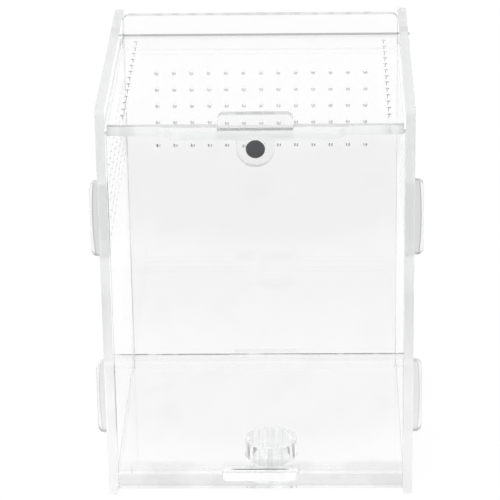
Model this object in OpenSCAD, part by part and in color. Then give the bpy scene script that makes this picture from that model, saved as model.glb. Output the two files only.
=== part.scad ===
// Clear acrylic keeping box for small pets: six laser-cut sheets held by tabs
// and slots, a hinged lid with a magnetic latch, and a lift-out water cup.
// +X is to the right seen from the front, +Y to the rear, +Z up.
// The origin is on the ground, under the middle of the whole box.

/* [Box] */
// Width across the outer faces of the two side panels
box_w = 100; // [80:1:200]
// Depth of the side panels, from front edge to rear edge
box_d = 100; // [80:1:200]
// Height of the side panels and of the back panel
box_h = 135; // [115:1:250]
// Thickness of the acrylic sheet that all the flat pieces are cut from
sheet = 3; // [2:0.5:4]
// Distance from the side panels' front and rear edges to the panels between them
end_inset = 4; // [3:0.5:8]
// Corner radius at the top of the back panel
back_corner_r = 2; // [0.5:0.5:5]

/* [Tabs] */
// Length of each upright tab of the front and back panels
side_tab_len = 25; // [10:1:35]
// Length of the floor's front tab and rear tab
floor_tab_len = 25; // [10:1:50]
// How far a tab stands out of the panel that it goes through
tab_proud = 3; // [1:0.5:3]
// Corner radius at the end of a tab
tab_r = 2; // [0.5:0.5:2.5]
// Height of the middle of the lower tabs
lower_tab_z = 33.5; // [30:0.5:40]
// Distance from the top of the box down to the middle of the upper tabs
upper_tab_drop = 38.5; // [36:0.5:45]
// Clearance between a tab and its slot, on every side
slot_gap = 0.1; // [0.05:0.05:0.3]

/* [Floor] */
// Height of the floor's underside above the ground
floor_z = 4.3; // [3:0.1:15]

/* [Vents] */
// Diameter of a vent hole
vent_d = 1.5; // [0.8:0.1:3]
// Distance from one vent hole to the next
vent_pitch = 6; // [4:0.5:10]
// Number of rows of vent holes in the side and back panels
vent_rows = 5; // [1:1:6]
// Distance from the top of the box down to the top row
vent_drop = 23; // [18:1:30]
// Smallest distance from the back panel's side edges to a vent hole
back_vent_margin = 11; // [6:1:20]
// Smallest distance from the side panels' slots to a vent hole
side_vent_margin = 7; // [4:1:15]

/* [Lid] */
// Depth of the lid's top face below the top of the box
lid_drop = 6.3; // [5:0.1:10]
// Clearance between the lid and each side panel
lid_side_gap = 0.5; // [0.2:0.1:1]
// Clearance between the lid's underside and the front panel's top edge
lid_seat_gap = 0.2; // [0.1:0.05:0.5]
// How far the lid's front edge reaches past the front panel
lid_overhang = 2; // [1:0.25:3]
// Width of the lid strip in front of the handle's slot
lip_land = 3; // [2:0.5:6]
// Width of the straight front of the finger lip
lip_w = 45.5; // [32:0.5:50]
// Width of the curved shoulder at each end of the finger lip
lip_shoulder_w = 8.3; // [6:0.1:10]
// Distance from the lid's straight front edge to its first vent hole
lid_vent_front = 10; // [6:0.5:20]
// Distance from the lid's rear edge within which there is no vent hole
lid_vent_rear = 8; // [6:0.5:20]
// Distance from the lid's side edges to the middle of its vent holes
lid_vent_side = 4.5; // [3:0.5:10]

/* [Lid pivots] */
// Width of the flat pivot ear, front to rear
ear_w = 4; // [3:0.5:6]
// How far the ear stands out of the side panel
ear_proud = 1; // [0.5:0.5:3]
// Clearance between the ear's corners and the round pivot hole
pivot_gap = 0.15; // [0.05:0.05:0.3]
// Clearance between the turning rear edge of the lid and the back panel
pivot_back_gap = 0.2; // [0.1:0.05:0.5]

/* [Handle and latch] */
// Width of the handle's grip above the lid
grip_w = 23.6; // [18:0.2:30]
// Height of the grip above the lid
grip_h = 4.3; // [3:0.1:8]
// Corner radius at the top of the grip
grip_r = 2; // [0.5:0.5:3]
// Width of the round-ended tongue that hangs in front of the front panel
tongue_w = 12; // [9:0.5:17]
// Distance from the lid's underside down to the middle of the magnet
magnet_drop = 4.2; // [4:0.1:8]
// Diameter of the latch magnets
magnet_d = 6; // [4:0.5:8]
// Radial clearance round a magnet
magnet_gap = 0.05; // [0.02:0.01:0.1]
// Gap between the tongue and the front panel
latch_gap = 0.3; // [0.2:0.1:0.6]

/* [Water cup] */
// Outer diameter of the cup
cup_d = 17; // [12:0.5:30]
// Height of the cup
cup_h = 13.3; // [12:0.1:40]
// Wall thickness of the cup
cup_wall = 1.5; // [1:0.25:3]
// Thickness of the cup's bottom
cup_base = 2; // [1:0.25:4]
// Distance of the cup from the middle of the box, to the right
cup_x = 3.5; // [-20:0.5:20]
// Clearance between the cup and the front panel
cup_front_gap = 0.4; // [0.3:0.1:5]
// Radial clearance between the cup and its hole in the floor
cup_hole_gap = 0.2; // [0.1:0.05:0.5]

/* [Hidden] */
$fn = 48;

// Width between the side panels
inner_w = box_w - 2 * sheet;
// The lid's slot and the handle in it, measured from the side panels' front edges
handle_back_q = end_inset - latch_gap;
handle_front_q = handle_back_q - sheet;
lip_front_q = handle_front_q - slot_gap - lip_land;
// The finger lip may reach past the side panels and then sets the box's front
lip_proud = max(0, -lip_front_q);
front_y = (lip_proud - box_d) / 2;
rear_y = front_y + box_d;
// Faces of the front and back panels
front_out_y = front_y + end_inset;
front_in_y = front_out_y + sheet;
back_out_y = rear_y - end_inset;
back_in_y = back_out_y - sheet;
mid_y = (front_y + rear_y) / 2;
inner_d = back_in_y - front_in_y;

// Heights
floor_top_z = floor_z + sheet;
lid_top_z = box_h - lid_drop;
lid_under_z = lid_top_z - sheet;
front_h = lid_under_z - lid_seat_gap;
upper_tab_z = box_h - upper_tab_drop;
tab_heights = [lower_tab_z, upper_tab_z];
magnet_z = lid_under_z - magnet_drop;
tab_reach = sheet + tab_proud;

// Lid pivots: the flat ear turns in a round hole about its own middle
ear_corner_r = norm([ear_w, sheet]) / 2;
pivot_r = ear_corner_r + pivot_gap;
pivot_y = back_in_y - ear_corner_r - pivot_back_gap;
pivot_z = lid_top_z - sheet / 2;

// Lid outline
lid_w = inner_w - 2 * lid_side_gap;
lid_front_y = front_out_y - lid_overhang;
lid_rear_y = pivot_y + ear_w / 2;
lip_front_y = front_y + lip_front_q;
lip_h = lid_front_y - lip_front_y;
// Two equal arcs make each shoulder, and this is the radius at which they meet
shoulder_r = (pow(lip_shoulder_w, 2) + pow(lip_h, 2)) / (4 * lip_h);
arc_steps = 12;
handle_y = front_y + handle_back_q;

// Water cup
cup_r = cup_d / 2;
cup_y = front_in_y + cup_front_gap + cup_r;

acrylic = [0.86, 0.93, 0.95, 0.4];
nickel = [0.25, 0.26, 0.28];

// How many holes at the vent pitch fit between two margins
function vent_count(room) = floor(room / vent_pitch + 0.001) + 1;
// Places of n holes, centred on zero
function vent_places(n) = [for (i = [0 : n - 1]) (i - (n - 1) / 2) * vent_pitch];

// Sheet cut to a profile, standing across the box with its front face at y
module upright_sheet(y) {
    translate([0, y + sheet, 0])
        rotate([90, 0, 0]) linear_extrude(sheet) children();
}

// Sheet cut to a profile, standing front to rear with its left face at x
module side_sheet(x) {
    translate([x, 0, 0])
        rotate([90, 0, 90]) linear_extrude(sheet) children();
}

// Sheet cut to a profile, lying flat with its underside at z
module flat_sheet(z) {
    translate([0, 0, z]) linear_extrude(sheet) children();
}

// Tab that points along +X from x = 0, with two rounded corners at its end
module tab_profile(length, reach) {
    translate([0, -length / 2]) square([reach - tab_r, length]);
    translate([0, tab_r - length / 2]) square([reach, length - 2 * tab_r]);
    for (side = [-1, 1])
        translate([reach - tab_r, side * (length / 2 - tab_r)]) circle(tab_r);
}

// Slot that takes a tab of this length, long side along Y
module slot_profile(length) {
    square([sheet + 2 * slot_gap, length + 2 * slot_gap], center = true);
}

// Block of vent holes whose top row is at the vent drop
module vent_block(n) {
    for (x = vent_places(n), row = [0 : vent_rows - 1])
        translate([x, box_h - vent_drop - row * vent_pitch]) circle(d = vent_d);
}

// The four tabs of the front panel and of the back panel
module upright_tabs() {
    for (z = tab_heights, side = [0, 1])
        mirror([side, 0]) translate([inner_w / 2, z])
            tab_profile(side_tab_len, tab_reach);
}

// Slot for one of the floor's tabs in the front or back panel
module floor_slot() {
    translate([0, floor_z + sheet / 2]) rotate(90) slot_profile(floor_tab_len);
}

module side_profile() {
    slot_room = inner_d - 2 * side_vent_margin;
    difference() {
        translate([front_y, 0]) square([box_d, box_h]);
        for (y = [front_out_y + sheet / 2, back_in_y + sheet / 2], z = tab_heights)
            translate([y, z]) slot_profile(side_tab_len);
        translate([mid_y, 0]) vent_block(vent_count(slot_room));
        translate([pivot_y, pivot_z]) circle(pivot_r);
    }
}

module left_side_panel() {
    color(acrylic) side_sheet(-box_w / 2) side_profile();
}

module right_side_panel() {
    color(acrylic) side_sheet(inner_w / 2) side_profile();
}

module front_panel() {
    color(acrylic) upright_sheet(front_out_y) difference() {
        union() {
            translate([-inner_w / 2, 0]) square([inner_w, front_h]);
            upright_tabs();
        }
        floor_slot();
        translate([0, magnet_z]) circle(magnet_d / 2 + magnet_gap);
    }
}

module back_panel() {
    color(acrylic) upright_sheet(back_in_y) difference() {
        union() {
            translate([-inner_w / 2, 0]) square([inner_w, box_h - back_corner_r]);
            translate([back_corner_r - inner_w / 2, 0])
                square([inner_w - 2 * back_corner_r, box_h]);
            for (side = [-1, 1])
                translate([side * (inner_w / 2 - back_corner_r), box_h - back_corner_r])
                    circle(back_corner_r);
            upright_tabs();
        }
        floor_slot();
        vent_block(vent_count(inner_w - 2 * back_vent_margin));
    }
}

module floor_panel() {
    color(acrylic) flat_sheet(floor_z) difference() {
        union() {
            translate([-inner_w / 2, front_in_y]) square([inner_w, inner_d]);
            translate([0, back_in_y]) rotate(90) tab_profile(floor_tab_len, tab_reach);
            translate([0, front_in_y]) rotate(-90) tab_profile(floor_tab_len, tab_reach);
        }
        translate([cup_x, cup_y]) circle(cup_r + cup_hole_gap);
    }
}

// Points along an arc, both ends included
function arc_points(centre, r, start, end) =
    [for (i = [0 : arc_steps])
        let (angle = start + (end - start) * i / arc_steps)
        centre + r * [cos(angle), sin(angle)]];

// Right-hand half of the finger lip: a convex arc that runs into a hollow one
function lip_edge() =
    let (sweep = asin(lip_shoulder_w / 2 / shoulder_r))
    concat(
        arc_points([lip_w / 2, lip_front_y + shoulder_r], shoulder_r, -90, sweep - 90),
        arc_points([lip_w / 2 + lip_shoulder_w, lid_front_y - shoulder_r], shoulder_r,
                   90 + sweep, 90));

// The finger lip, carried on into the lid as far as the handle's slot
module lip_profile() {
    right = lip_edge();
    left = [for (i = [len(right) - 1 : -1 : 0]) [-right[i].x, right[i].y]];
    reach = lip_w / 2 + lip_shoulder_w;
    polygon(concat(right, [[reach, handle_y], [-reach, handle_y]], left));
}

module lid() {
    vents = vent_count(lid_rear_y - lid_front_y - lid_vent_front - lid_vent_rear);
    color(acrylic) flat_sheet(lid_under_z) difference() {
        union() {
            translate([-lid_w / 2, lid_front_y])
                square([lid_w, lid_rear_y - lid_front_y]);
            lip_profile();
            translate([-box_w / 2 - ear_proud, pivot_y - ear_w / 2])
                square([box_w + 2 * ear_proud, ear_w]);
        }
        translate([0, handle_y - sheet / 2]) rotate(90) slot_profile(grip_w);
        for (x = [-1, 1] * (lid_w / 2 - lid_vent_side), i = [0 : vents - 1])
            translate([x, lid_front_y + lid_vent_front + i * vent_pitch])
                circle(d = vent_d);
    }
}

module lid_handle() {
    grip_top_z = lid_top_z + grip_h;
    color(acrylic) upright_sheet(handle_y - sheet) difference() {
        union() {
            translate([-grip_w / 2, lid_under_z])
                square([grip_w, grip_top_z - grip_r - lid_under_z]);
            translate([grip_r - grip_w / 2, lid_under_z])
                square([grip_w - 2 * grip_r, grip_top_z - lid_under_z]);
            for (side = [-1, 1])
                translate([side * (grip_w / 2 - grip_r), grip_top_z - grip_r])
                    circle(grip_r);
            translate([-tongue_w / 2, magnet_z])
                square([tongue_w, lid_under_z - magnet_z]);
            translate([0, magnet_z]) circle(tongue_w / 2);
        }
        translate([0, magnet_z]) circle(magnet_d / 2 + magnet_gap);
    }
}

// Disc magnet flush with a sheet whose front face is at y
module magnet(y) {
    color(nickel) upright_sheet(y) translate([0, magnet_z]) circle(magnet_d / 2);
}

module handle_magnet() {
    magnet(handle_y - sheet);
}

module front_magnet() {
    magnet(front_out_y);
}

module water_cup() {
    color(acrylic) translate([cup_x, cup_y, 0]) difference() {
        cylinder(h = cup_h, r = cup_r);
        translate([0, 0, cup_base]) cylinder(h = cup_h, r = cup_r - cup_wall);
    }
}

left_side_panel();
right_side_panel();
front_panel();
back_panel();
floor_panel();
lid();
lid_handle();
handle_magnet();
front_magnet();
water_cup();
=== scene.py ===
"""Looks of a clear acrylic keeping box for small pets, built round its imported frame.

Six laser-cut sheets are held by tabs and slots. The lid turns on two ears, a pair
of disc magnets keeps it shut, and a short tube through the floor is the water cup.
"""
import math

import bmesh
import bpy
from bpy.props import FloatProperty, FloatVectorProperty, IntProperty, PointerProperty
from mathutils import Matrix, Vector


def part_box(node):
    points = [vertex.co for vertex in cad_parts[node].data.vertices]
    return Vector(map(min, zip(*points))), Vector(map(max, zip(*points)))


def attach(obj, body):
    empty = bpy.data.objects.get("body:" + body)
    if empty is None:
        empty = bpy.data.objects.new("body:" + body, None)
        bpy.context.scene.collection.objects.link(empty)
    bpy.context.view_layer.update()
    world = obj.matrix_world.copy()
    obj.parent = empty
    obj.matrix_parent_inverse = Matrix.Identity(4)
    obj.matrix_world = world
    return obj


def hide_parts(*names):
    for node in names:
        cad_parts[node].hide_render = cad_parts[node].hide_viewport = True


bl_info = {
    "name": "Clear Pet Keeper",
    "version": (1, 0, 0),
    "blender": (4, 5, 0),
    "location": "View3D > Sidebar > Pet Keeper",
    "description": "Builds a clear acrylic keeping box round its packed frame",
    "category": "Add Mesh",
}

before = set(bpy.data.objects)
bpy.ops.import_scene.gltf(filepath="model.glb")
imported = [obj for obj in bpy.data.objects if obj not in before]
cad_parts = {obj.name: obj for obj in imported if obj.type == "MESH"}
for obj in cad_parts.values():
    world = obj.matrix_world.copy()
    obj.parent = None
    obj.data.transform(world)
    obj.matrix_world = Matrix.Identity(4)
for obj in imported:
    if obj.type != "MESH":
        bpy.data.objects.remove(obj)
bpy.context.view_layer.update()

MM = 0.001
ARC_STEPS = 10
VENT_SIDES = 24
TUBE_SIDES = 128
ACRYLIC_IOR = 1.49
SMEAR_ROUGH = 0.02
CEMENT_ROUGH = 0.12
# Haze of the lower tabs' cement beside the upper tabs'
LOWER_HAZE = 0.45
# Strength of the rear seam, a cement line darkened with painted shade
REAR_SEAM_AND_SHADE = 0.9
SPILT_CEMENT = 0.15
# Heights between which a scraped edge's painted white, a painted reflection of the white paper
# low down, fades
PAINTED_REFLECTION_HEIGHTS = (30 * MM, 75 * MM)
# How clear a scraped edge is low down, where its white is a painted reflection of the paper, and
# higher up
PAINTED_REFLECTION_CLEAR, SCRAPED_CLEAR = 0.3, 0.5
WELD_DISTANCE = 1e-7
# A face this far from level is part of the cut
CUT_STEEPNESS = 0.9
ROUND_EDGE = 0.25 * MM
LID_SIDE_GAP = 0.5 * MM
WHITE = (1.0, 1.0, 1.0, 1.0)
# Where the camera's opening is seen from the object, and its soft rim in degrees
OPENING = (0.02, -0.92, 0.39)
OPENING_SOFT = 20
ROOF_RISE = (0.45, 0.9)
# Parts of the paper, in metres: behind the box, beside it, under it and before it. Seen through
# the box, the paper behind it, beside it and under its front edge carries painted shade
BEHIND_Y, BEHIND_FADE = 0.19, (0.06, 0.14)
BESIDE_X, BESIDE_Y = (0.047, 0.052), (0.15, 0.2)
EDGE_NEAR, EDGE_FAR = (-0.055, -0.045), (-0.036, -0.026)
PAPER_FRONT = (-0.09, -0.05)
PAPER_HALF, PAPER_DROP = 1.5, 0.05 * MM
CAMERA_PLACE = (19.61 * MM, -850.36 * MM, 430.61 * MM)
CAMERA_TURN = (1.555, 23.163, -0.897)
LENS, SENSOR = 197.88, 36.0

# What stands where, from the frame
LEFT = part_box("left_side_panel")
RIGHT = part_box("right_side_panel")
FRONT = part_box("front_panel")
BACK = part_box("back_panel")
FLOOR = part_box("floor_panel")
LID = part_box("lid")
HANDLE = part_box("lid_handle")
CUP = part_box("water_cup")
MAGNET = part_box("handle_magnet")
SHEET = FRONT[1].y - FRONT[0].y
INNER = RIGHT[0].x
PANEL_MID_Y = (LEFT[0].y + LEFT[1].y) / 2


def linear(code):
    """Linear red, green and blue of an sRGB hex colour."""
    parts = [int(code[i:i + 2], 16) / 255 for i in (1, 3, 5)]
    return [c / 12.92 if c <= 0.04045 else ((c + 0.055) / 1.055) ** 2.4 for c in parts]


def length(name, text, default):
    """A length that a user may change, in metres."""
    return FloatProperty(name=name, description=text, default=default, min=0.0,
                         unit="LENGTH", subtype="DISTANCE", precision=6)


def colour(name, text, code):
    """A colour that a user may change."""
    return FloatVectorProperty(name=name, description=text, default=linear(code),
                               min=0.0, max=1.0, size=3, subtype="COLOR")


def number(name, text, default, top=1000.0):
    """A plain number that a user may change."""
    return FloatProperty(name=name, description=text, default=default, min=0.0,
                         max=top, precision=4)


class KeeperSizes(bpy.types.PropertyGroup):
    """Sizes that the frame alone doesn't give."""
    chamfer: length("Cut rounding", "Width of the rounding that the laser melts", 0.015 * MM)
    joint_gap: length("Joint gap", "Air between two sheets that meet", 0.04 * MM)
    slot_gap: length("Slot gap", "Air between a tab and its slot", 0.1 * MM)
    vent_d: length("Vent diameter", "Diameter of a vent hole", 1.5 * MM)
    vent_pitch: length("Vent pitch", "Distance between vent holes", 6 * MM)
    vent_drop: length("Vent drop", "Top of the box down to the top row", 23 * MM)
    vent_rows: IntProperty(name="Vent rows", description="Rows of vents in a wall",
                           default=5, min=1)
    vent_columns: IntProperty(name="Vent columns", description="Vents in one row",
                              default=13, min=1)
    lid_vent_x: length("Lid vents", "Middle of the box out to the lid's vents", 42 * MM)
    lid_vent_front: length("First lid vent", "Lid's front edge to its first vent", 10 * MM)
    tab_length: length("Tab length", "Length of every tab", 25 * MM)
    tab_r: length("Tab corner", "Corner radius of the tabs and of the back panel", 2 * MM)
    tab_low: length("Lower tabs", "Height of the lower tabs", 33.5 * MM)
    tab_high: length("Upper tabs", "Height of the upper tabs", 96.5 * MM)
    cement_reach: length("Cement", "Middle of the box out to the rim of the cement haze",
                         52.2 * MM)
    cement_bow: length("Cement bow", "How far the cement's rim bows", 0.6 * MM)
    seam_w: length("Seam", "Width of the cement line above the floor", 0.45 * MM)
    pivot_r: length("Pivot hole", "Radius of the lid's pivot holes", 2.65 * MM)
    pivot_y: length("Pivot depth", "Place of the pivot behind the middle", 41.5 * MM)
    ear_w: length("Ear width", "Width of the lid's ears, front to rear", 4 * MM)
    lip_w: length("Finger lip", "Width of the straight front of the lip", 45.5 * MM)
    lip_shoulder: length("Lip shoulder", "Width of the lip's curved shoulders", 8.3 * MM)
    lid_overhang: length("Lid overhang", "Lid's reach past the front panel", 2 * MM)
    magnet_hole_r: length("Magnet hole", "Radius of the magnets' holes", 3.05 * MM)
    tongue_w: length("Tongue width", "Width of the round-ended tongue", 12 * MM)
    cup_hole_gap: length("Cup clearance", "Air between the cup and the floor", 0.2 * MM)
    cup_wall: length("Cup wall", "Wall of the cup's tube", 1.5 * MM)
    cup_base: length("Cup bottom", "Thickness of the cup's bottom", 2 * MM)


class KeeperFinish(bpy.types.PropertyGroup):
    """Colours and finishes."""
    sheet_tint: colour("Sheet", "Tint of the clear cast sheet", "#FFFFFF")
    smear_tint: colour("Smears", "Tint where a hand has smeared the sheet", "#FDFDFD")
    cement_tint: colour("Cement", "Tint of the cement haze on the tabs", "#E2E3E3")
    cement_rim: colour("Cement rim", "Tint of the line where the cement stopped", "#B4B6B6")
    # The seams are cement lines, darkened with painted shade where the sheets meet
    seam_and_shade_tint: colour("Seam", "Tint of the cement lines behind and before the floor", "#3A3C3C")
    scraped_tint: colour("Scraped edge", "Colour of the scraped edges", "#F8F9F9")
    # Painted shade on the scraped edges between the side panels, from just below the lid up,
    # most where they face up
    top_edge_shade_tint: colour("Dust", "Colour of the scraped edges that face up", "#DCDEDE")
    edge_tint: colour("Cut edge", "Tint of the laser-cut edges", "#FFFFFF")
    tube_tint: colour("Tube", "Tint of the clear extruded tube", "#F0F2F2")
    absorption: colour("Depth tint", "Colour that deep sheet keeps", "#BFC2C2")
    density: number("Depth density", "How fast deep sheet darkens, per metre", 1.0)
    magnet: colour("Magnet", "Black nickel plating", "#7B7C7E")


class KeeperStage(bpy.types.PropertyGroup):
    """Floor, background and lamps."""
    floor: colour("Floor", "Colour of the floor", "#F2F2F2")
    paper: number("Paper", "Strength with which the white paper shows", 0.94)
    shadow: number("Shadow", "Share of the paper's own light, which keeps the shadow", 0.08)
    sky: number("Sky", "Strength of the even light from all sides", 0.9)
    tent: number("Tent", "What mirrors see of the tent's walls", 1.0)
    roof: number("Roof", "What mirrors see of the tent's roof", 0.9)
    front: number("Camera opening", "What mirrors see through the camera's opening", 0.35)
    opening: number("Opening", "Half the width of the camera's opening, in degrees", 14.0)
    front_floor: number("Front floor", "What mirrors see past the paper's front", 0.3)
    # Levels of the paper seen through the box, with painted shade behind and beside the box and
    # under the floor's front edge
    under: number("Under", "Level of the paper under the box", 0.95)
    shade: number("Shade", "Level of the paper under the floor's front edge", 0.8)
    behind: number("Behind", "Level of the paper that shows through the box", 0.88)
    bow: number("Front bow", "How much the paper's front is bowed, per metre", 10.0)
    key: number("Key lamp", "Power of the large lamp overhead, in watts", 6.0)
    fill: number("Fill lamp", "Power of the large lamp in front, in watts", 2.0)


def add(tree, kind, inputs=(), **settings):
    """Adds one node, with its settings and its inputs' values, sockets or whole nodes."""
    node = tree.nodes.new(kind)
    for key, value in settings.items():
        setattr(node, key, value)
    for key, value in dict(inputs).items():
        if isinstance(value, bpy.types.Node):
            value = next(socket for socket in value.outputs if socket.enabled)
        if isinstance(value, bpy.types.NodeSocket):
            tree.links.new(value, node.inputs[key])
        else:
            node.inputs[key].default_value = value
    return node


def mask(tree, *limits):
    """The area inside several soft limits, whose levels are multiplied.

    A limit is a value, where it starts and ends, and the levels there.
    """
    level = 1.0
    for limit in limits:
        step = add(tree, "ShaderNodeMapRange", enumerate(limit),
                   interpolation_type="SMOOTHSTEP")
        level = add(tree, "ShaderNodeMath", {0: level, 1: step}, operation="MULTIPLY")
    return level


def rgba(values):
    """Colour with a full alpha."""
    return (*values, 1.0)


# ---------------------------------------------------------------- materials

def new_material(name):
    """An empty node material."""
    material = bpy.data.materials.new(name)
    material.use_nodes = True
    material.node_tree.nodes.clear()
    return material, material.node_tree


def clear_cast_acrylic(name, cemented):
    """Clear cast acrylic sheet with its polished faces: glassy, with faint hand smears."""
    finish = bpy.context.scene.keeper_finish
    material, tree = new_material(name)
    place = add(tree, "ShaderNodeTexCoord").outputs["Object"]
    # Smears about 12 mm across, and 1 mm specks of dust in them
    smear = add(tree, "ShaderNodeTexNoise", {"Vector": place, "Scale": 80.0, "Detail": 5.0})
    patches = add(tree, "ShaderNodeMapRange", enumerate((smear, 0.5, 0.75)),
                  interpolation_type="SMOOTHSTEP")
    rough = add(tree, "ShaderNodeMath", {0: patches, 1: SMEAR_ROUGH}, operation="MULTIPLY")
    tint = add(tree, "ShaderNodeMix", {
        "Factor": patches, 6: rgba(finish.sheet_tint), 7: rgba(finish.smear_tint)},
        data_type="RGBA")
    if cemented:
        haze, rim, seam_and_shade = cement(tree, place, smear)
        rough = add(tree, "ShaderNodeMix", {"Factor": haze, 2: rough, 3: CEMENT_ROUGH})
        # The haze and its rim are cement; the seams are cement lines darkened with painted shade
        for part, stain_and_shade in ((haze, finish.cement_tint), (rim, finish.cement_rim),
                            (seam_and_shade, finish.seam_and_shade_tint)):
            tint = add(tree, "ShaderNodeMix", {"Factor": part, 6: tint, 7: rgba(stain_and_shade)},
                       data_type="RGBA")
    clear_solid(tree, {"Base Color": tint, "Roughness": rough})
    return material


def clear_solid(tree, looks):
    """Ends an acrylic's tree: its surface with the given looks, and its depth tint."""
    finish = bpy.context.scene.keeper_finish
    shader = add(tree, "ShaderNodeBsdfPrincipled", {
        "IOR": ACRYLIC_IOR, "Transmission Weight": 1.0, **looks})
    volume = add(tree, "ShaderNodeVolumeAbsorption", {
        "Color": rgba(finish.absorption), "Density": finish.density})
    add(tree, "ShaderNodeOutputMaterial", {"Surface": shader, "Volume": volume})


def cement(tree, place, uneven):
    """Solvent cement: the haze on the side tabs, its bowed rim, and the floor's seams, cement
    lines darkened with painted shade.
    """
    sizes = bpy.context.scene.keeper_sizes
    axes = add(tree, "ShaderNodeSeparateXYZ", {0: place}).outputs
    out = add(tree, "ShaderNodeMath", {0: axes["X"]}, operation="ABSOLUTE")
    # The rim bows inwards from the middle of each tab to its ends
    apart, half = sizes.tab_high - sizes.tab_low, sizes.tab_length / 2
    along = add(tree, "ShaderNodeMath", {0: axes["Z"], 1: sizes.tab_low},
                operation="SUBTRACT")
    along = add(tree, "ShaderNodeMath", {0: along, 1: apart / 2, 2: -apart / 2},
                operation="WRAP")
    bow = add(tree, "ShaderNodeMath", {0: along, 1: along}, operation="MULTIPLY")
    bowed = add(tree, "ShaderNodeMath", {0: bow, 1: sizes.cement_bow / half ** 2, 2: out},
                operation="MULTIPLY_ADD")
    reach, thin, wide = sizes.cement_reach, 0.05 * MM, 0.2 * MM
    amount = (axes["Z"], sizes.tab_low, sizes.tab_high, LOWER_HAZE, 1.0)
    haze = mask(tree, (out, INNER - wide / 2, INNER + wide / 2, 0.0, 1.0),
                (bowed, reach - wide / 2, reach + wide / 2, 1.0, 0.0), amount)
    rim = mask(tree, (bowed, reach - wide, reach - thin, 0.0, 1.0),
               (bowed, reach + thin, reach + wide, 1.0, 0.0), amount)
    # The rear seam is on the inner face of the rear sheet, just above the floor: a cement line,
    # darkened with painted shade where the two sheets meet
    top, seam_w = FLOOR[1].z, sizes.seam_w
    rear = mask(tree, (axes["Y"], BACK[0].y - wide, BACK[0].y - wide / 2, 0.0, REAR_SEAM_AND_SHADE),
                (axes["Y"], BACK[0].y + wide / 2, BACK[0].y + wide, 1.0, 0.0),
                (axes["Z"], top - 0.1 * seam_w, top + 0.1 * seam_w, 0.0, 1.0),
                (axes["Z"], top + 0.9 * seam_w, top + 1.1 * seam_w, 1.0, 0.0),
                (uneven, 0.38, 0.5, 0.3, 1.0))
    # The front seam is on top of the floor's tab, before the front sheet: a cement line,
    # darkened with painted shade where the two sheets meet
    front = mask(tree, (axes["Y"], FRONT[0].y - 2 * seam_w, FRONT[0].y - 1.7 * seam_w, 0.0, 1.0),
                 (axes["Y"], FRONT[0].y - 0.3 * seam_w, FRONT[0].y, 1.0, 0.0),
                 (axes["Z"], top - wide, top - wide / 2, 0.0, 1.0),
                 (out, half * 2 / 3, half * 0.8, 1.0, 0.0))
    # Cement that ran out on the front sheet's inner face, up to 2.5 mm above the floor
    spilt = mask(tree, (axes["Y"], FRONT[1].y - wide, FRONT[1].y - wide / 2, 0.0, 1.0),
                 (axes["Y"], FRONT[1].y + wide / 2, FRONT[1].y + wide, 1.0, 0.0),
                 (axes["Z"], top + 1 * MM, top + 2.5 * MM, SPILT_CEMENT, 0.0),
                 (uneven, 0.4, 0.6, 0.0, 1.0))
    seam_and_shade = add(tree, "ShaderNodeMath", {0: rear, 1: front}, operation="ADD")
    seam_and_shade = add(tree, "ShaderNodeMath", {0: seam_and_shade, 1: spilt}, operation="ADD")
    return haze, rim, seam_and_shade


def cut_edge(name, low, high, scraped=False):
    """Laser-cut edge of the sheet, with the beam's striations straight across the cut.

    A scraped edge is satin, and is painted whiter low down, a painted reflection of the white
    paper. Between the side panels, from just below the lid's underside up, it carries painted
    shade, most where it faces up.
    """
    finish = bpy.context.scene.keeper_finish
    material, tree = new_material(name)
    # A plain cut is glassy and keeps its colour, and a scraped one is mixed below
    tint, clear = rgba(finish.edge_tint), 1.0
    if scraped:
        place = add(tree, "ShaderNodeTexCoord").outputs["Object"]
        axes = add(tree, "ShaderNodeSeparateXYZ", {0: place}).outputs
        normal = add(tree, "ShaderNodeNewGeometry").outputs["Normal"]
        facing = add(tree, "ShaderNodeSeparateXYZ", {0: normal}).outputs["Z"]
        out = add(tree, "ShaderNodeMath", {0: axes["X"]}, operation="ABSOLUTE")
        # Painted shade between the side panels, from just below the lid's underside up, most on
        # edges that face up
        top_edge_shade = mask(tree, (axes["Z"], LID[0].z - 5 * MM, LID[0].z - 1 * MM, 0.0, 1.0),
                    (out, INNER - 0.1 * MM, INNER, 1.0, 0.0), (facing, 0.9, 0.98, 0.5, 1.0))
        # Painted reflection of the white paper: low down the edge is whiter and less clear
        above_painted_reflection = add(tree, "ShaderNodeMapRange", enumerate((axes["Z"], *PAINTED_REFLECTION_HEIGHTS)),
                       interpolation_type="SMOOTHSTEP")
        for part, stain_and_shade in ((above_painted_reflection, finish.scraped_tint), (top_edge_shade, finish.top_edge_shade_tint)):
            tint = add(tree, "ShaderNodeMix", {"Factor": part, 6: tint, 7: rgba(stain_and_shade)},
                       data_type="RGBA")
        clear = add(tree, "ShaderNodeMix", {
            "Factor": above_painted_reflection, 2: PAINTED_REFLECTION_CLEAR, 3: SCRAPED_CLEAR})
    # The striations are about 0.2 mm apart, and are drawn 0.6 mm apart so that they show
    place = add(tree, "ShaderNodeAttribute", attribute_name="sheet_place").outputs["Vector"]
    lines = add(tree, "ShaderNodeTexNoise", {"Vector": place, "Scale": 1600.0, "Detail": 2.0})
    ridges = add(tree, "ShaderNodeBump", {
        "Height": lines, "Strength": 0.05, "Distance": 0.02 * MM})
    rough = add(tree, "ShaderNodeMapRange", enumerate((lines, 0.35, 0.65, low, high)),
                interpolation_type="SMOOTHSTEP")
    clear_solid(tree, {"Base Color": tint, "Roughness": rough, "Transmission Weight": clear,
                       "Normal": ridges})
    return material


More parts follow.
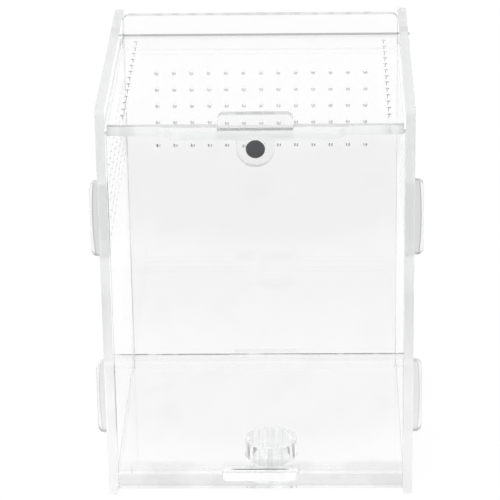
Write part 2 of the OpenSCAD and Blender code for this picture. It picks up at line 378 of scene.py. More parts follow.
def extruded_tube():
    """Clear extruded acrylic tube: a little greyer than cast sheet, with draw lines."""
    finish = bpy.context.scene.keeper_finish
    material, tree = new_material("clear_extruded_acrylic_tube")
    place = add(tree, "ShaderNodeTexCoord").outputs["Object"]
    # Draw lines run along the tube, about 1 mm apart
    stretched = add(tree, "ShaderNodeMapping", {"Vector": place, "Scale": (1.0, 1.0, 0.03)})
    lines = add(tree, "ShaderNodeTexNoise", {
        "Vector": stretched, "Scale": 900.0, "Detail": 2.0})
    streaks = add(tree, "ShaderNodeMapRange", enumerate((lines, 0.45, 0.6)),
                  interpolation_type="SMOOTHSTEP")
    rough = add(tree, "ShaderNodeMapRange", enumerate((lines, 0.4, 0.7, 0.05, 0.09)),
                interpolation_type="SMOOTHSTEP")
    tint = add(tree, "ShaderNodeMix", {
        "Factor": streaks, 6: rgba(finish.sheet_tint), 7: rgba(finish.tube_tint)},
        data_type="RGBA")
    ridges = add(tree, "ShaderNodeBump", {
        "Height": lines, "Strength": 0.1, "Distance": 0.05 * MM})
    clear_solid(tree, {"Base Color": tint, "Roughness": rough, "Normal": ridges})
    return material


def black_nickel():
    """Black nickel plating on a pressed magnet: dark, satin, softly mirror-like."""
    finish = bpy.context.scene.keeper_finish
    material, tree = new_material("black_nickel_plating")
    place = add(tree, "ShaderNodeTexCoord").outputs["Object"]
    grain = add(tree, "ShaderNodeTexNoise", {"Vector": place, "Scale": 2500.0, "Detail": 3.0})
    rough = add(tree, "ShaderNodeMapRange", enumerate((grain, 0.3, 0.7, 0.25, 0.4)))
    shader = add(tree, "ShaderNodeBsdfPrincipled", {
        "Base Color": rgba(finish.magnet), "Metallic": 1.0, "Roughness": rough})
    add(tree, "ShaderNodeOutputMaterial", {"Surface": shader})
    return material


# ------------------------------------------------------------- cut profiles

def arc(centre, r, start, end, steps=ARC_STEPS):
    """Points along an arc, both ends included, angles in degrees."""
    return [(centre[0] + r * math.cos(math.radians(start + (end - start) * i / steps)),
             centre[1] + r * math.sin(math.radians(start + (end - start) * i / steps)))
            for i in range(steps + 1)]


def hole(centre, r, steps=48):
    """Round hole, clockwise."""
    return arc(centre, r, 0, -360, steps)[:-1]


def slot(centre, width, height):
    """Rectangular slot, clockwise."""
    x, y = centre
    w, h = width / 2, height / 2
    return [(x - w, y - h), (x - w, y + h), (x + w, y + h), (x + w, y - h)]


def tab(base, middle, reach, long, r):
    """Tab that points along +X from x = base, counter-clockwise, from low to high."""
    low, high = middle - long / 2, middle + long / 2
    return [(base, low), *arc((reach - r, low + r), r, -90, 0),
            *arc((reach - r, high - r), r, 0, 90), (base, high)]


def mirrored(points):
    """The left-hand half of a profile from its right-hand half."""
    return [(-x, y) for x, y in reversed(points)]


def outward_vectors(loop):
    """At each point, the vector that moves both of its edges out by one."""
    found = []
    for i, point in enumerate(loop):
        before, after = Vector(loop[i - 1]), Vector(loop[(i + 1) % len(loop)])
        into, away = Vector(point) - before, after - Vector(point)
        a = Vector((into.y, -into.x)).normalized()
        b = Vector((away.y, -away.x)).normalized()
        mitre = (a + b) / max(1 + a.dot(b), 0.2)
        found.append((mitre.x, mitre.y, 0.0))
    return found


# Which cut a point of a profile is in
OUTLINE, INNER_CUT, VENT_CUT = 0.0, 1.0, 2.0


def profile_mesh(name, loops):
    """Mesh of closed edge loops that keeps where outward is at each point.

    Its points also keep which cut they are in: OUTLINE for the first loop, else INNER_CUT.
    """
    verts, edges, outward, cuts = [], [], [], []
    for loop in loops:
        first, count = len(verts), len(loop)
        verts += [(x, y, 0.0) for x, y in loop]
        edges += [(first + i, first + (i + 1) % count) for i in range(count)]
        outward += outward_vectors(loop)
        cuts += [INNER_CUT if first else OUTLINE] * count
    mesh = bpy.data.meshes.new(name)
    mesh.from_pydata(verts, edges, [])
    attribute = mesh.attributes.new("outward", "FLOAT_VECTOR", "POINT")
    attribute.data.foreach_set("vector", [c for v in outward for c in v])
    attribute = mesh.attributes.new("cut_kind", "FLOAT", "POINT")
    attribute.data.foreach_set("value", cuts)
    return mesh


def sheet_tree():
    """Node tree that cuts a vented sheet from a profile and melts its cut edges round."""
    tree = bpy.data.node_groups.new("laser_cut_sheet", "GeometryNodeTree")
    face = tree.interface
    face.new_socket("Profile", in_out="INPUT", socket_type="NodeSocketGeometry")
    for name, kind in (("Thickness", "Float"), ("Rounding", "Float"), ("Vented", "Bool"),
                       ("Vent Diameter", "Float"), ("Columns", "Int"), ("Rows", "Int"),
                       ("Column Pitch", "Float"), ("Row Pitch", "Float"),
                       ("Vent Middle", "Vector"), ("Scraped Way", "Vector"),
                       ("Scraped Past", "Float"), ("Face", "Material"),
                       ("Cut Edge", "Material"), ("Scraped Edge", "Material"),
                       ("Vent Edge", "Material")):
        face.new_socket(name, in_out="INPUT", socket_type="NodeSocket" + kind)
    face.new_socket("Sheet", in_out="OUTPUT", socket_type="NodeSocketGeometry")
    given = add(tree, "NodeGroupInput").outputs

    # Perforations: one circle on each point of a grid
    spans = []
    for count, pitch in (("Columns", "Column Pitch"), ("Rows", "Row Pitch")):
        gaps = add(tree, "ShaderNodeMath", {0: given[count], 1: 1.0}, operation="SUBTRACT")
        spans.append(add(tree, "ShaderNodeMath", {0: gaps, 1: given[pitch]},
                         operation="MULTIPLY"))
    grid = add(tree, "GeometryNodeMeshGrid", {
        "Size X": spans[0], "Size Y": spans[1], "Vertices X": given["Columns"],
        "Vertices Y": given["Rows"]})
    placed = add(tree, "GeometryNodeTransform", {
        "Geometry": grid, "Translation": given["Vent Middle"]})
    radius = add(tree, "ShaderNodeMath", {
        0: given["Vent Diameter"], 1: 0.5, 2: given["Rounding"]}, operation="MULTIPLY_ADD")
    circle = add(tree, "GeometryNodeMeshCircle", {"Vertices": VENT_SIDES, "Radius": radius})
    position = add(tree, "GeometryNodeInputPosition")
    away = add(tree, "ShaderNodeVectorMath", {0: position}, operation="NORMALIZE")
    centreward = add(tree, "ShaderNodeVectorMath", {0: away, "Scale": -1.0},
                     operation="SCALE")
    marked = add(tree, "GeometryNodeStoreNamedAttribute", {
        "Geometry": circle, "Name": "outward", "Value": centreward},
        data_type="FLOAT_VECTOR")
    marked = add(tree, "GeometryNodeStoreNamedAttribute", {
        "Geometry": marked, "Name": "cut_kind", "Value": VENT_CUT}, data_type="FLOAT")
    spread = add(tree, "GeometryNodeInstanceOnPoints", {"Points": placed, "Instance": marked})
    vents = add(tree, "GeometryNodeRealizeInstances", {"Geometry": spread})
    chosen = add(tree, "GeometryNodeSwitch", {"Switch": given["Vented"], "True": vents},
                 input_type="GEOMETRY")

    # The flat face is the profile drawn in by the rounding
    outward = add(tree, "GeometryNodeInputNamedAttribute", {"Name": "outward"},
                  data_type="FLOAT_VECTOR")
    cut_kind = add(tree, "GeometryNodeInputNamedAttribute", {"Name": "cut_kind"},
                   data_type="FLOAT")
    grow = add(tree, "ShaderNodeVectorMath", {0: outward, "Scale": given["Rounding"]},
               operation="SCALE")
    shrink = add(tree, "ShaderNodeVectorMath", {0: grow, "Scale": -1.0}, operation="SCALE")
    drawn = add(tree, "GeometryNodeSetPosition", {
        "Geometry": given["Profile"], "Offset": shrink})
    loops = add(tree, "GeometryNodeJoinGeometry")
    tree.links.new(drawn.outputs[0], loops.inputs[0])
    tree.links.new(chosen.outputs[0], loops.inputs[0])
    curves = add(tree, "GeometryNodeMeshToCurve", {"Mesh": loops})
    bottom = add(tree, "GeometryNodeFillCurve", {"Curve": curves}, mode="TRIANGLES")
    nearest = add(tree, "GeometryNodeSampleNearest", {"Geometry": loops})
    for name, value, kind in (("outward", outward, "FLOAT_VECTOR"),
                              ("cut_kind", cut_kind, "FLOAT")):
        sampled = add(tree, "GeometryNodeSampleIndex", {
            "Geometry": loops, "Value": value, "Index": nearest}, data_type=kind)
        bottom = add(tree, "GeometryNodeStoreNamedAttribute", {
            "Geometry": bottom, "Name": name, "Value": sampled}, data_type=kind)

    # Out over the lower rounding, up the cut, and in over the upper rounding
    straight = add(tree, "ShaderNodeMath", {
        0: given["Rounding"], 1: -2.0, 2: given["Thickness"]}, operation="MULTIPLY_ADD")
    body, top = bottom, True
    for rise, move in ((given["Rounding"], grow), (straight, None),
                       (given["Rounding"], shrink)):
        up = add(tree, "ShaderNodeCombineXYZ", {"Z": rise})
        raised = add(tree, "GeometryNodeExtrudeMesh", {
            "Mesh": body, "Offset": up, "Individual": False, "Selection": top}, mode="FACES")
        body, top = raised.outputs["Mesh"], raised.outputs["Top"]
        if move is not None:
            body = add(tree, "GeometryNodeSetPosition", {
                "Geometry": body, "Selection": top, "Offset": move}).outputs[0]
    under = add(tree, "GeometryNodeFlipFaces", {"Mesh": bottom})
    both = add(tree, "GeometryNodeJoinGeometry")
    tree.links.new(body, both.inputs[0])
    tree.links.new(under.outputs[0], both.inputs[0])
    closed = add(tree, "GeometryNodeMergeByDistance", {
        "Geometry": both, "Distance": WELD_DISTANCE})

    # Faces that stand up from the sheet are the cut
    normal = add(tree, "GeometryNodeInputNormal")
    steep = add(tree, "ShaderNodeSeparateXYZ", {0: normal}).outputs["Z"]
    steep = add(tree, "ShaderNodeMath", {0: steep}, operation="ABSOLUTE")
    is_cut = add(tree, "ShaderNodeMath", {0: steep, 1: CUT_STEEPNESS}, operation="LESS_THAN")
    way = add(tree, "ShaderNodeVectorMath", {0: position, 1: given["Scraped Way"]},
              operation="DOT_PRODUCT")
    scraped = is_cut
    for test, value, limit in (("LESS_THAN", cut_kind, (OUTLINE + INNER_CUT) / 2),
                               ("GREATER_THAN", way, given["Scraped Past"])):
        passed = add(tree, "ShaderNodeMath", {0: value, 1: limit}, operation=test)
        scraped = add(tree, "ShaderNodeMath", {0: scraped, 1: passed}, operation="MULTIPLY")
    passed = add(tree, "ShaderNodeMath", {0: cut_kind, 1: (INNER_CUT + VENT_CUT) / 2},
                 operation="GREATER_THAN")
    vent = add(tree, "ShaderNodeMath", {0: is_cut, 1: passed}, operation="MULTIPLY")
    sheet = add(tree, "GeometryNodeRealizeInstances", {"Geometry": closed})
    for where, name in ((True, "Face"), (is_cut, "Cut Edge"), (scraped, "Scraped Edge"),
                        (vent, "Vent Edge")):
        sheet = add(tree, "GeometryNodeSetMaterial", {
            "Geometry": sheet, "Selection": where, "Material": given[name]})
    add(tree, "NodeGroupOutput", {"Sheet": sheet})
    return tree


def finish_piece(piece, body, slot_name, *nodes):
    """Ties a piece to its body and hides the nodes that it stands for; the slot name is not
    used.
    """
    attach(piece, body)
    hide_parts(*nodes)


# Ways to scrape a sheet's edges; past -1 m every edge is scraped, and past 1 m none
ALL_ROUND, UP, FORWARD = (0.0, 0.0, 0.0), (0.0, 1.0, 0.0), (0.0, -1.0, 0.0)


def cut_sheet(name, node, body, loops, place, vents=None, scraped=(ALL_ROUND, 1.0),
              face="clear_cast_acrylic_face"):
    """Cuts one sheet from its profile, and puts it where the frame has it.

    Its edges further than scraped's distance along scraped's way are scraped satin.
    """
    sizes = bpy.context.scene.keeper_sizes
    tree = bpy.data.node_groups.get("laser_cut_sheet") or sheet_tree()
    piece = bpy.data.objects.new(name, profile_mesh(name, loops))
    bpy.context.scene.collection.objects.link(piece)
    vents = vents or {}
    values = {
        "Thickness": SHEET, "Rounding": sizes.chamfer, "Vented": bool(vents),
        "Vent Diameter": sizes.vent_d, "Columns": vents.get("columns", 1),
        "Rows": vents.get("rows", 1), "Column Pitch": vents.get("column_pitch", 0.0),
        "Row Pitch": vents.get("row_pitch", 0.0), "Vent Middle": vents.get("middle", (0, 0, 0)),
        "Face": bpy.data.materials[face],
        "Scraped Way": scraped[0], "Scraped Past": scraped[1],
        "Cut Edge": bpy.data.materials["laser_cut_acrylic_edge"],
        "Scraped Edge": bpy.data.materials["scraped_acrylic_edge"],
        "Vent Edge": bpy.data.materials["laser_pierced_acrylic_vent"]}
    modifier = piece.modifiers.new("cut", "NODES")
    modifier.node_group = tree
    for item in tree.interface.items_tree:
        if item.in_out == "INPUT" and item.name in values:
            modifier[item.identifier] = values[item.name]
    depsgraph = bpy.context.evaluated_depsgraph_get()
    made = bpy.data.meshes.new_from_object(piece.evaluated_get(depsgraph),
                                           depsgraph=depsgraph)
    piece.modifiers.remove(modifier)
    raw = piece.data
    piece.data = made
    bpy.data.meshes.remove(raw)
    made.name = name
    for used in ("outward", "cut_kind"):
        if used in made.attributes:
            made.attributes.remove(made.attributes[used])
    used = [m for m in made.materials if m]
    index = [used.index(made.materials[p.material_index]) for p in made.polygons]
    made.materials.clear()
    for material in used:
        made.materials.append(material)
    made.polygons.foreach_set("material_index", index)
    made.shade_smooth()
    made.set_sharp_from_angle(angle=math.radians(30))
    flat = made.attributes.new("sheet_place", "FLOAT_VECTOR", "POINT")
    flat.data.foreach_set("vector", [c for v in made.vertices for c in (v.co.x, v.co.y, 0.0)])
    made.transform(place)
    if not made.polygons:
        raise RuntimeError(f"the sheet {name} came out empty")
    finish_piece(piece, body, "clear_acrylic_sheet", node)
    return piece


def across(front_y):
    """Place of a sheet that stands across the box, with its front face at front_y."""
    return Matrix(((1, 0, 0, 0), (0, 0, -1, front_y + SHEET), (0, 1, 0, 0), (0, 0, 0, 1)))


def along(left_x):
    """Place of a sheet that stands front to rear, with its left face at left_x."""
    return Matrix(((0, 0, 1, left_x), (1, 0, 0, 0), (0, 1, 0, 0), (0, 0, 0, 1)))


def wall_vents(middle_x):
    """The block of vents in a wall, round its middle column."""
    sizes = bpy.context.scene.keeper_sizes
    drop = sizes.vent_drop + (sizes.vent_rows - 1) / 2 * sizes.vent_pitch
    return {"columns": sizes.vent_columns, "rows": sizes.vent_rows,
            "column_pitch": sizes.vent_pitch, "row_pitch": sizes.vent_pitch,
            "middle": (middle_x, BACK[1].z - drop, 0.0)}


# -------------------------------------------------------------------- pieces

class KEEPER_OT_materials(bpy.types.Operator):
    """Make the clear sheet, its cut edge, the tube and the plated magnet"""
    bl_idname = "keeper.materials"
    bl_label = "Materials"

    def execute(self, context):
        clear_cast_acrylic("clear_cast_acrylic_face", False)
        clear_cast_acrylic("cemented_cast_acrylic_face", True)
        cut_edge("laser_cut_acrylic_edge", 0.01, 0.03)
        cut_edge("laser_pierced_acrylic_vent", 0.0, 0.02)
        cut_edge("scraped_acrylic_edge", 0.08, 0.15, scraped=True)
        extruded_tube()
        black_nickel()
        return {"FINISHED"}


class KEEPER_OT_side_panels(bpy.types.Operator):
    """Cut the two side panels, with their slots, vents and pivot holes"""
    bl_idname = "keeper.side_panels"
    bl_label = "Side panels"

    def execute(self, context):
        sizes = context.scene.keeper_sizes
        low, high = LEFT
        loops = [[(low.y, low.z), (high.y, low.z), (high.y, high.z), (low.y, high.z)]]
        for middle_y in ((FRONT[0].y + FRONT[1].y) / 2, (BACK[0].y + BACK[1].y) / 2):
            for z in (sizes.tab_low, sizes.tab_high):
                loops.append(slot((middle_y, z), SHEET + 2 * sizes.slot_gap,
                                  sizes.tab_length + 2 * sizes.slot_gap))
        loops.append(hole((sizes.pivot_y, LID[1].z - SHEET / 2), sizes.pivot_r))
        for name, node, x in (("side_sheet_left", "left_side_panel", LEFT[0].x),
                              ("side_sheet_right", "right_side_panel", RIGHT[0].x)):
            cut_sheet(name, node, "box", loops, along(x), wall_vents(PANEL_MID_Y),
                      scraped=(ALL_ROUND, -1.0))
        return {"FINISHED"}


class KEEPER_OT_end_panels(bpy.types.Operator):
    """Cut the front panel and the vented back panel, with their tabs"""
    bl_idname = "keeper.end_panels"
    bl_label = "Front and back panels"

    def execute(self, context):
        sizes = context.scene.keeper_sizes
        half = INNER - sizes.joint_gap
        floor_slot = slot((0, (FLOOR[0].z + FLOOR[1].z) / 2),
                          sizes.tab_length + 2 * sizes.slot_gap, SHEET + 2 * sizes.slot_gap)
        magnet_z = (MAGNET[0].z + MAGNET[1].z) / 2

        def outline(low, high, corners):
            right = [(half, low.z)]
            for z in (sizes.tab_low, sizes.tab_high):
                right += tab(half, z, high.x, sizes.tab_length, sizes.tab_r)
            return right + corners + mirrored(right + corners)

        corner = (half - sizes.tab_r, BACK[1].z - sizes.tab_r)
        past_slot = FLOOR[1].z + 2 * sizes.slot_gap
        cut_sheet("front_sheet", "front_panel", "box",
                  [outline(*FRONT, [(half, FRONT[1].z)]), floor_slot,
                   hole((0, magnet_z), sizes.magnet_hole_r)], across(FRONT[0].y),
                  scraped=(UP, past_slot), face="cemented_cast_acrylic_face")
        cut_sheet("back_sheet", "back_panel", "box",
                  [outline(*BACK, arc(corner, sizes.tab_r, 0, 90)), floor_slot],
                  across(BACK[0].y), wall_vents(0.0), scraped=(UP, past_slot),
                  face="cemented_cast_acrylic_face")
        return {"FINISHED"}


class KEEPER_OT_floor_panel(bpy.types.Operator):
    """Cut the floor, with its two tabs and the hole for the cup"""
    bl_idname = "keeper.floor_panel"
    bl_label = "Floor panel"

    def execute(self, context):
        sizes = context.scene.keeper_sizes
        half, gap = INNER - sizes.joint_gap, sizes.joint_gap
        front_y, rear_y = FRONT[1].y + gap, BACK[0].y - gap
        ends = []
        for base, reach, turn in ((rear_y, FLOOR[1].y, 1), (-front_y, -FLOOR[0].y, -1)):
            points = tab(base, 0.0, reach, sizes.tab_length, sizes.tab_r)
            ends.append([(-turn * b, turn * a) for a, b in points])
        outline = [(half, front_y), (half, rear_y), *ends[0], (-half, rear_y),
                   (-half, front_y), *ends[1]]
        cup = (CUP[0] + CUP[1]) / 2
        cup_r = (CUP[1].x - CUP[0].x) / 2 + sizes.cup_hole_gap
        cut_sheet("floor_sheet", "floor_panel", "box",
                  [outline, hole((cup.x, cup.y), cup_r, 96)],
                  Matrix.Translation((0, 0, FLOOR[0].z)),
                  scraped=(FORWARD, 0.05 * MM - FRONT[0].y),
                  face="cemented_cast_acrylic_face")
        return {"FINISHED"}


class KEEPER_OT_lid(bpy.types.Operator):
    """Cut the lid, with its finger lip and ears, and the handle that stands in it"""
    bl_idname = "keeper.lid"
    bl_label = "Lid and handle"

    def execute(self, context):
        sizes = context.scene.keeper_sizes
        half = INNER - LID_SIDE_GAP
        front_y, lip_y = FRONT[0].y - sizes.lid_overhang, LID[0].y
        ear_y, rear_y = LID[1].y - sizes.ear_w, LID[1].y
        rise = front_y - lip_y
        r = (sizes.lip_shoulder ** 2 + rise ** 2) / (4 * rise)
        sweep = math.degrees(math.asin(sizes.lip_shoulder / 2 / r))
        lip = [*arc((sizes.lip_w / 2, lip_y + r), r, -90, sweep - 90, 12),
               *arc((sizes.lip_w / 2 + sizes.lip_shoulder, front_y - r), r,
                    90 + sweep, 90, 12)[1:]]
        right = [*lip, (half, front_y), (half, ear_y), (LID[1].x, ear_y), (LID[1].x, rear_y)]
        handle_y = (HANDLE[0].y + HANDLE[1].y) / 2
        grip_w = HANDLE[1].x - HANDLE[0].x
        vents = {"columns": 2, "rows": sizes.vent_columns,
                 "column_pitch": 2 * sizes.lid_vent_x, "row_pitch": sizes.vent_pitch,
                 "middle": (0.0, front_y + sizes.lid_vent_front
                            + (sizes.vent_columns - 1) / 2 * sizes.vent_pitch, 0.0)}
        cut_sheet("lid_sheet", "lid", "lid",
                  [right + mirrored(right),
                   slot((0, handle_y), grip_w + 2 * sizes.slot_gap,
                        SHEET + 2 * sizes.slot_gap)],
                  Matrix.Translation((0, 0, LID[0].z)), vents,
                  scraped=(FORWARD, 0.1 * MM - ear_y))

        top, under, r = HANDLE[1].z, LID[0].z, sizes.tab_r
        magnet_z, tongue = (MAGNET[0].z + MAGNET[1].z) / 2, sizes.tongue_w / 2
        grip = grip_w / 2
        right = [*arc((0, magnet_z), tongue, -90, 0, 24), (tongue, under), (grip, under),
                 *arc((grip - r, top - r), r, 0, 90)]
        left = mirrored(right)
        cut_sheet("handle_sheet", "lid_handle", "lid",
                  [right + left[:-1], hole((0, magnet_z), sizes.magnet_hole_r)],
                  across(HANDLE[0].y), scraped=(ALL_ROUND, -1.0))
        return {"FINISHED"}


def turned(name, profile, material, sides, place):
    """Closed body turned round its axis from a profile that starts and ends on it."""
    form = bmesh.new()
    rings = []
    for r, z in profile:
        if r == 0:
            rings.append([form.verts.new((0, 0, z))])
            continue
        angles = [2 * math.pi * i / sides for i in range(sides)]
        rings.append([form.verts.new((r * math.cos(a), r * math.sin(a), z))
                      for a in angles])
    for low, high in zip(rings, rings[1:]):
        for i in range(sides):
            j = (i + 1) % sides
            corners = [low[i % len(low)], low[j % len(low)],
                       high[j % len(high)], high[i % len(high)]]
            form.faces.new(dict.fromkeys(corners))
    bmesh.ops.recalc_face_normals(form, faces=form.faces)
    mesh = bpy.data.meshes.new(name)
    form.to_mesh(mesh)
    form.free()
    mesh.shade_smooth()
    mesh.set_sharp_from_angle(angle=math.radians(40))
    mesh.transform(place)
    mesh.materials.append(bpy.data.materials[material])
    piece = bpy.data.objects.new(name, mesh)
    bpy.context.scene.collection.objects.link(piece)
    return piece


class KEEPER_OT_magnets(bpy.types.Operator):
    """Make the two disc magnets of the latch"""
    bl_idname = "keeper.magnets"
    bl_label = "Latch magnets"

    def execute(self, context):
        for name, node, body in (("handle_disc", "handle_magnet", "lid"),
                                 ("front_disc", "front_magnet", "box")):
            low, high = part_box(node)
            r, thick, edge = (high.x - low.x) / 2, high.y - low.y, ROUND_EDGE
            profile = [(0, 0), (r - edge, 0), *arc((r - edge, edge), edge, -90, 0, 5)[1:],
                       *arc((r - edge, thick - edge), edge, 0, 90, 5), (0, thick)]
            middle = (low + high) / 2
            place = Matrix(((1, 0, 0, middle.x), (0, 0, -1, high.y), (0, 1, 0, middle.z),
                            (0, 0, 0, 1)))
            piece = turned(name, profile, "black_nickel_plating", 64, place)
            finish_piece(piece, body, "nickel_plated_magnet", node)
        return {"FINISHED"}


class KEEPER_OT_cup(bpy.types.Operator):
    """Make the water cup, a short tube with a bottom"""
    bl_idname = "keeper.cup"
    bl_label = "Water cup"

    def execute(self, context):
        sizes = context.scene.keeper_sizes
        low, high = CUP
        r, top, edge = (high.x - low.x) / 2, high.z - low.z, ROUND_EDGE
        inner, base = r - sizes.cup_wall, sizes.cup_base
        profile = [(0, 0), *arc((r - edge, edge), edge, -90, 0, 5),
                   *arc((r - edge, top - edge), edge, 0, 90, 5),
                   *arc((inner + edge, top - edge), edge, 90, 180, 5),
                   *arc((inner - edge, base + edge), edge, 0, -90, 5), (0, base)]
        middle = (low + high) / 2
        piece = turned("water_cup_tube", profile, "clear_extruded_acrylic_tube", TUBE_SIDES,
                       Matrix.Translation((middle.x, middle.y, low.z)))
        finish_piece(piece, "cup", "clear_acrylic_tube", "water_cup")
        return {"FINISHED"}


# --------------------------------------------------------------------- stage

def area_lamp(name, place, target, size, power):
    """A large soft lamp."""
    data = bpy.data.lights.new(name, "AREA")
    data.shape, data.size, data.size_y, data.energy = "RECTANGLE", size[0], size[1], power
    lamp = bpy.data.objects.new(name, data)
    bpy.context.scene.collection.objects.link(lamp)
    lamp.location = place
    lamp.rotation_euler = (Vector(target) - Vector(place)).to_track_quat(
        "-Z", "Y").to_euler()
    return lamp


def seen_by(tree):
    """Whether a ray lights something, was mirrored, or came through something clear."""
    ray = add(tree, "ShaderNodeLightPath").outputs
    return [add(tree, "ShaderNodeMath", {0: ray[kind + " Depth"], 1: 0.5},
                operation="GREATER_THAN") for kind in ("Diffuse", "Glossy", "Transmission")]


def make_world(stage):
    """A white tent, where mirrored rays also find the dark opening for the camera."""
    world = bpy.data.worlds.new("studio")
    bpy.context.scene.world = world
    world.use_nodes = True
    tree = world.node_tree
    tree.nodes.clear()
    lighting, reflected = seen_by(tree)[:2]
    direction = add(tree, "ShaderNodeTexCoord").outputs["Generated"]
    towards = add(tree, "ShaderNodeVectorMath", {0: direction, 1: OPENING},
                  operation="DOT_PRODUCT")
    height = add(tree, "ShaderNodeSeparateXYZ", {0: direction}).outputs["Z"]
    tent = add(tree, "ShaderNodeMapRange",
               enumerate((height, *ROOF_RISE, stage.tent, stage.roof)),
               interpolation_type="SMOOTHSTEP")
    near = math.cos(math.radians(stage.opening))
    far = math.cos(math.radians(stage.opening + OPENING_SOFT))
    opening = add(tree, "ShaderNodeMapRange", enumerate((towards, far, near)),
                  interpolation_type="SMOOTHSTEP")
    level = add(tree, "ShaderNodeMix", {"Factor": opening, 2: tent, 3: stage.front})
    level = add(tree, "ShaderNodeMix", {"Factor": reflected, 2: 1.0, 3: level})
    level = add(tree, "ShaderNodeMix", {"Factor": lighting, 2: level, 3: stage.sky})
    background = add(tree, "ShaderNodeBackground", {"Color": WHITE, "Strength": level})
    add(tree, "ShaderNodeOutputWorld", {"Surface": background})


def make_floor(stage):
    """Matt white paper, which shows white to the eye and keeps the shadow.

    Through the box it shows painted shade, a little greyer behind and beside the box, and most
    under the floor's front edge, a painted contact shadow. In mirrors it ends in front of the
    box, where the camera stands.
    """
    material, tree = new_material("matt_white_paper")
    lighting, reflected, through = seen_by(tree)
    place = add(tree, "ShaderNodeTexCoord").outputs["Object"]
    axes = add(tree, "ShaderNodeSeparateXYZ", {0: place}).outputs
    across_x = add(tree, "ShaderNodeMath", {0: axes["X"], 1: axes["X"]}, operation="MULTIPLY")
    depth = add(tree, "ShaderNodeMath", {0: across_x, 1: stage.bow, 2: axes["Y"]},
                operation="MULTIPLY_ADD")
    out = add(tree, "ShaderNodeMath", {0: axes["X"]}, operation="ABSOLUTE")
    # Painted shade on the paper seen through the box, greyer behind and beside it
    off = add(tree, "ShaderNodeMath", {0: axes["Y"], 1: BEHIND_Y}, operation="SUBTRACT")
    off = add(tree, "ShaderNodeMath", {0: off}, operation="ABSOLUTE")
    level = add(tree, "ShaderNodeMapRange",
                enumerate((off, *BEHIND_FADE, stage.behind, stage.under)),
                interpolation_type="SMOOTHSTEP")
    beside = mask(tree, (out, *BESIDE_X, 0.0, 1.0), (axes["Y"], *BESIDE_Y, 1.0, 0.0))
    # Painted contact shadow on the paper under the floor's front edge
    edge = mask(tree, (axes["Y"], *EDGE_NEAR, 0.0, 1.0), (axes["Y"], *EDGE_FAR, 1.0, 0.0))
    for share, above in ((beside, stage.behind), (edge, stage.shade)):
        level = add(tree, "ShaderNodeMix", {"Factor": share, 2: level, 3: above})
    in_front = add(tree, "ShaderNodeMapRange",
                   enumerate((depth, *PAPER_FRONT, stage.front_floor, 1.0)),
                   interpolation_type="SMOOTHSTEP")
    level = add(tree, "ShaderNodeMix", {"Factor": through, 2: stage.paper, 3: level})
    level = add(tree, "ShaderNodeMix", {"Factor": reflected, 2: level, 3: in_front})
    level = add(tree, "ShaderNodeMix", {"Factor": lighting, 2: level, 3: 0.0})
    glow = add(tree, "ShaderNodeEmission", {"Color": WHITE, "Strength": level})
    share = add(tree, "ShaderNodeMix", {"Factor": lighting, 2: stage.shadow, 3: 1.0})
    paper = add(tree, "ShaderNodeBsdfDiffuse", {"Color": rgba(stage.floor)})
    nothing = add(tree, "ShaderNodeEmission", {"Strength": 0.0})
    part = add(tree, "ShaderNodeMixShader", {0: share, 1: nothing, 2: paper})
    both = add(tree, "ShaderNodeAddShader", {0: part, 1: glow})
    add(tree, "ShaderNodeOutputMaterial", {"Surface": both})
    mesh = bpy.data.meshes.new("paper")
    half, z = PAPER_HALF, -PAPER_DROP
    mesh.from_pydata([(-half, -half, z), (half, -half, z), (half, half, z),
                      (-half, half, z)], [], [(0, 1, 2, 3)])
    mesh.materials.append(material)
    paper_floor = bpy.data.objects.new("paper_floor", mesh)
    bpy.context.scene.collection.objects.link(paper_floor)


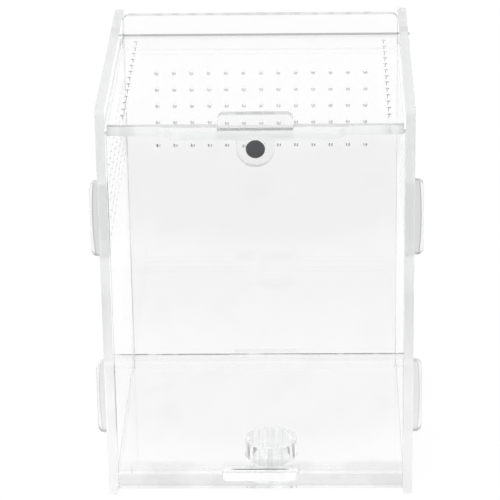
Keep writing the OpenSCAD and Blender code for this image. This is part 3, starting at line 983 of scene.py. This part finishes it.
class KEEPER_OT_stage(bpy.types.Operator):
    """Make the floor, the background, the lamps and the camera"""
    bl_idname = "keeper.stage"
    bl_label = "Stage"

    def execute(self, context):
        scene, stage = context.scene, context.scene.keeper_stage
        scene.view_settings.view_transform = "Standard"
        scene.cycles.max_bounces = 64
        scene.cycles.transmission_bounces = 64
        scene.cycles.glossy_bounces = 64
        scene.cycles.diffuse_bounces = 3
        make_world(stage)
        make_floor(stage)
        area_lamp("key_lamp", (-0.35, -0.25, 1.1), (0, 0, 0.05), (1.0, 1.0), stage.key)
        area_lamp("fill_lamp", (0.9, -0.9, 0.7), (0, 0, 0.05), (0.8, 0.8), stage.fill)

        yaw, pitch, roll = (math.radians(angle) for angle in CAMERA_TURN)
        side = Vector((math.cos(yaw), math.sin(yaw), 0))
        ahead = (Vector((-math.sin(yaw), math.cos(yaw), 0)) * math.cos(pitch)
                 - Vector((0, 0, math.sin(pitch))))
        over = side.cross(ahead)
        right = side * math.cos(roll) + over * math.sin(roll)
        up = over * math.cos(roll) - side * math.sin(roll)
        data = bpy.data.cameras.new("camera")
        data.lens, data.sensor_width = LENS, SENSOR
        camera = bpy.data.objects.new("camera", data)
        scene.collection.objects.link(camera)
        turn = Matrix((right, up, -ahead)).transposed().to_4x4()
        camera.matrix_world = Matrix.Translation(CAMERA_PLACE) @ turn
        scene.camera = camera
        return {"FINISHED"}


class KEEPER_PT_sidebar(bpy.types.Panel):
    """Lists the steps that build the keeper"""
    bl_idname = "KEEPER_PT_sidebar"
    bl_label = "Pet Keeper"
    bl_space_type = "VIEW_3D"
    bl_region_type = "UI"
    bl_category = "Pet Keeper"

    def draw(self, context):
        for group in (context.scene.keeper_sizes, context.scene.keeper_finish,
                      context.scene.keeper_stage):
            box = self.layout.box()
            for name in group.bl_rna.properties.keys():
                if name not in ("rna_type", "name"):
                    box.prop(group, name)
        for step in STEPS:
            self.layout.operator(step.bl_idname)


GROUPS = {"keeper_sizes": KeeperSizes, "keeper_finish": KeeperFinish,
          "keeper_stage": KeeperStage}
STEPS = (KEEPER_OT_stage, KEEPER_OT_materials, KEEPER_OT_side_panels,
         KEEPER_OT_end_panels, KEEPER_OT_floor_panel, KEEPER_OT_lid,
         KEEPER_OT_magnets, KEEPER_OT_cup)


def register():
    for name, group in GROUPS.items():
        bpy.utils.register_class(group)
        setattr(bpy.types.Scene, name, PointerProperty(type=group))
    for item in (*STEPS, KEEPER_PT_sidebar):
        bpy.utils.register_class(item)


def unregister():
    for item in (KEEPER_PT_sidebar, *reversed(STEPS)):
        bpy.utils.unregister_class(item)
    for name, group in GROUPS.items():
        delattr(bpy.types.Scene, name)
        bpy.utils.unregister_class(group)


def main():
    """Builds everything."""
    register()
    for step in STEPS:
        family, name = step.bl_idname.split(".")
        getattr(getattr(bpy.ops, family), name)()


if __name__ == "__main__":
    main()
